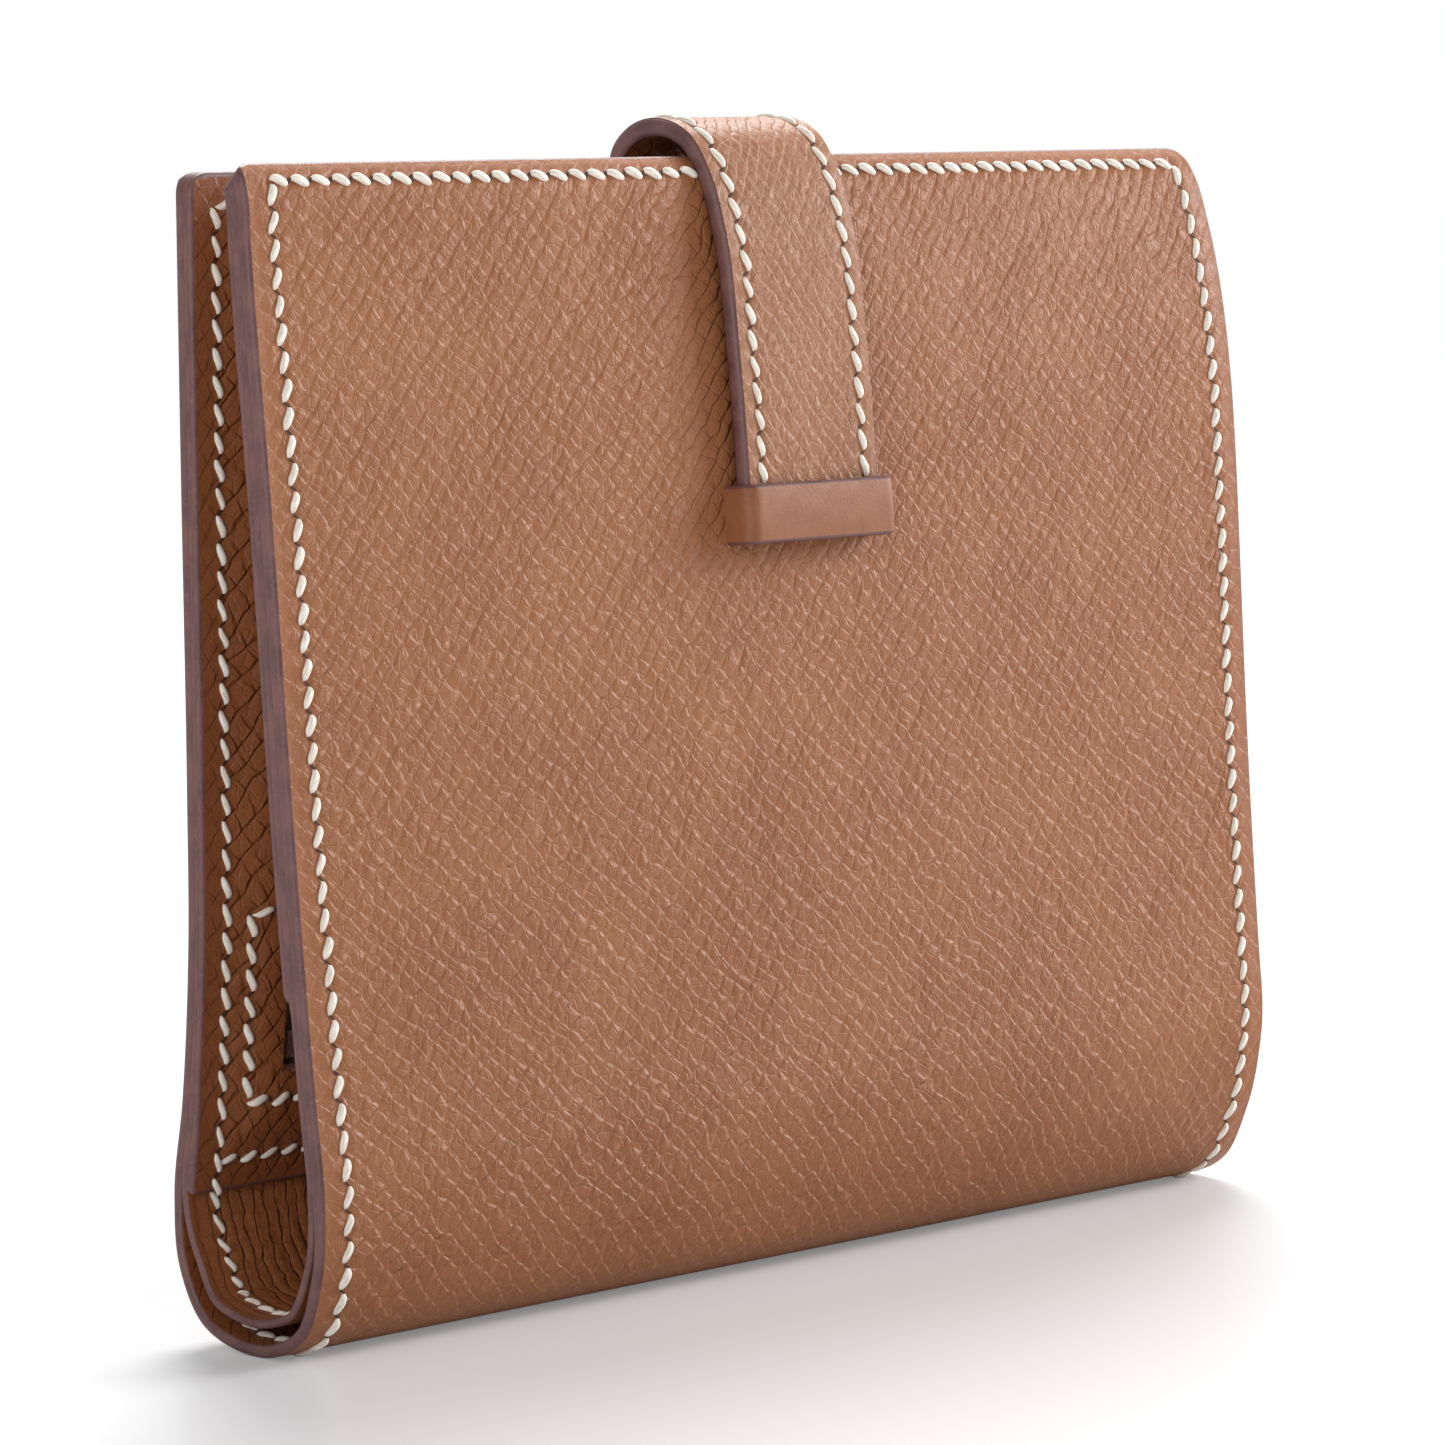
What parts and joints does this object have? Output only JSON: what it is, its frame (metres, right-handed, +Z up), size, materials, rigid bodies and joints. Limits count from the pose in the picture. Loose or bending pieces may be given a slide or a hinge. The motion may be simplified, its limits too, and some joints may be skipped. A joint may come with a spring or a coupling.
{
  "type": "bifold wallet",
  "caption": "Compact leather bifold wallet with zipped coin pocket, card slots and a closing strap that tucks into a keeper loop.",
  "frame": {"origin": "middle of the flat underside of the fold, where the closed wallet stands", "axes": "+X along the fold, to the right seen from the front; -Y the front with the keeper; +Z up from the fold to the open edge"},
  "size_m": [0.118, 0.0202, 0.0999],
  "materials": {
    "grain_leather": "tan calf leather with a fine pressed pebble grain, semi-matt",
    "lining_leather": "orange-brown grained leather, semi-matt, as seen on the inner faces",
    "smooth_leather": "smooth tan leather without grain",
    "edge_paint": "mauve-brown burnished edge paint, satin",
    "thread": "off-white waxed linen thread",
    "pocket_cloth": "brown twill lining",
    "zip_tape": "woven brown zip tape",
    "zip_metal": "pale gold polished metal"
  },
  "bodies": {
    "fold": {"fold_shell_middle": "grain_leather", "fold_liner_middle": "lining_leather"},
    "fold_back": {"fold_shell_back": "grain_leather", "fold_liner_back": "lining_leather"},
    "fold_front": {"fold_shell_front": "grain_leather", "fold_liner_front": "lining_leather"},
    "back_leaf": {"back_shell": "grain_leather", "back_liner": "lining_leather", "coin_pocket_lining": "pocket_cloth", "coin_pocket_panel": "lining_leather", "back_shell_seam": "thread", "coin_panel_seam": "thread", "zip_window_seam": "thread", "zip_tape_upper": "zip_tape", "zip_tape_lower": "zip_tape", "zip_teeth_upper": "zip_metal", "zip_teeth_lower": "zip_metal", "zip_stop_left": "zip_metal", "zip_stop_right": "zip_metal", "strap_base": "grain_leather", "strap_base_seam": "thread"},
    "front_leaf": {"front_shell": "grain_leather", "front_liner": "lining_leather", "card_panel": "lining_leather", "card_slot_1": "lining_leather", "card_slot_2": "lining_leather", "card_slot_3": "lining_leather", "front_shell_seam": "thread", "card_panel_seam": "thread", "keeper": "smooth_leather"},
    "zip_slider": {"zip_slider_plate": "zip_metal", "zip_slider_bracket": "zip_metal", "zip_pull_pin": "zip_metal"},
    "zip_pull": {"zip_pull_tab": "zip_metal"},
    "strap_arch_back": {"strap_arch_back": "grain_leather"},
    "strap_arch_front": {"strap_arch_front": "grain_leather"},
    "strap_tail": {"strap_tail": "grain_leather", "strap_tail_seam": "thread"}
  },
  "joints": [
    {"name": "fold_back_lower", "type": "hinge", "parent": "fold", "child": "fold_back", "pos_m": [0, 0.00332, 0.0019], "axis": [-1, 0, 0], "range_deg": [0, 43.5]},
    {"name": "fold_back_upper", "type": "hinge", "parent": "fold_back", "child": "back_leaf", "pos_m": [0, 0.0073, 0.00588], "axis": [-1, 0, 0], "range_deg": [0, 43.5]},
    {"name": "fold_front_lower", "type": "hinge", "parent": "fold", "child": "fold_front", "pos_m": [0, -0.00315, 0.0019], "axis": [1, 0, 0], "range_deg": [0, 46]},
    {"name": "fold_front_upper", "type": "hinge", "parent": "fold_front", "child": "front_leaf", "pos_m": [0, -0.00682, 0.006], "axis": [1, 0, 0], "range_deg": [0, 46]},
    {"name": "strap_bend_back", "type": "hinge", "parent": "back_leaf", "child": "strap_arch_back", "pos_m": [0, 0.0103, 0.09635], "axis": [-1, 0, 0], "range_deg": [0, 57.5]},
    {"name": "strap_bend_top", "type": "hinge", "parent": "strap_arch_back", "child": "strap_arch_front", "pos_m": [0, 0.00573, 0.09922], "axis": [-1, 0, 0], "range_deg": [0, 57.5]},
    {"name": "strap_bend_front", "type": "hinge", "parent": "strap_arch_front", "child": "strap_tail", "pos_m": [0, 0.0005, 0.09671], "axis": [-1, 0, 0], "range_deg": [0, 57.5], "deforming": ["strap_tail", "strap_tail_seam"]},
    {"name": "zip_slide", "type": "slide", "parent": "back_leaf", "child": "zip_slider", "axis": [-1, 0, 0], "range_m": [0, 0.08]},
    {"name": "zip_pull_flip", "type": "hinge", "parent": "zip_slider", "child": "zip_pull", "pos_m": [0.04, 0.00245, 0.0278], "axis": [0, 0, 1], "range_deg": [0, 170]}
  ],
  "couplings": [
    {"joint": "fold_back_upper", "follows": "fold_back_lower", "ratio": 1},
    {"joint": "fold_front_lower", "follows": "fold_back_lower", "ratio": 1.057},
    {"joint": "fold_front_upper", "follows": "fold_back_lower", "ratio": 1.057},
    {"joint": "strap_bend_top", "follows": "strap_bend_back", "ratio": 1},
    {"joint": "strap_bend_front", "follows": "strap_bend_back", "ratio": 1}
  ]
}
